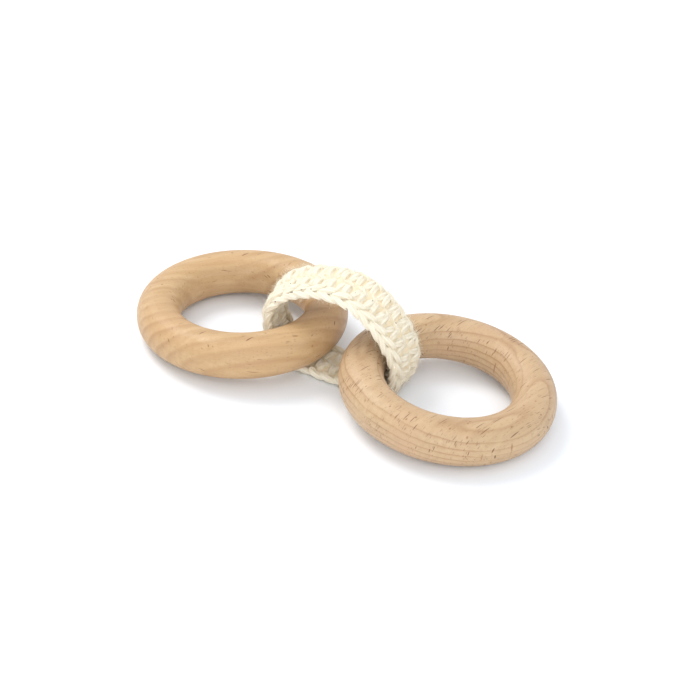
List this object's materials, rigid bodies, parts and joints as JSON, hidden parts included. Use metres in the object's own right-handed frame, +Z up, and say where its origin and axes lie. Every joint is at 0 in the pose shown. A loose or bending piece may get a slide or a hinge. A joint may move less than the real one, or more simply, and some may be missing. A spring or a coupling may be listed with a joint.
{
  "type": "ring rattle",
  "caption": "Turned wooden rings linked by a closed loop band of crocheted cotton; each ring swings up in the loop until the rings clap together.",
  "frame": {"origin": "on the surface that the rattle lies on, midway between the rings", "axes": "+X from the left ring to the right ring, +Z up from the surface, +Y away from the side that is the front"},
  "size_m": [0.1458, 0.07, 0.0341],
  "materials": {
    "cotton_crochet": "undyed cotton yarn, matt, single crochet",
    "seam_yarn": "undyed cotton yarn, matt, overcast stitches",
    "beech_warm": "turned and sanded beech, oiled, satin",
    "beech_pale": "turned and sanded beech, oiled, satin"
  },
  "bodies": {
    "band": {"crocheted_band": "cotton_crochet", "closing_seam": "seam_yarn"},
    "left_ring": {"left_ring": "beech_warm"},
    "right_ring": {"right_ring": "beech_pale"}
  },
  "joints": [
    {"name": "left_ring_swing", "type": "hinge", "parent": "band", "child": "left_ring", "pos_m": [-0.0103, 0, 0.01121], "axis": [0, 1, 0], "range_deg": [0, 97]},
    {"name": "right_ring_swing", "type": "hinge", "parent": "band", "child": "right_ring", "pos_m": [0.0103, 0, 0.01121], "axis": [0, -1, 0], "range_deg": [0, 97]}
  ]
}
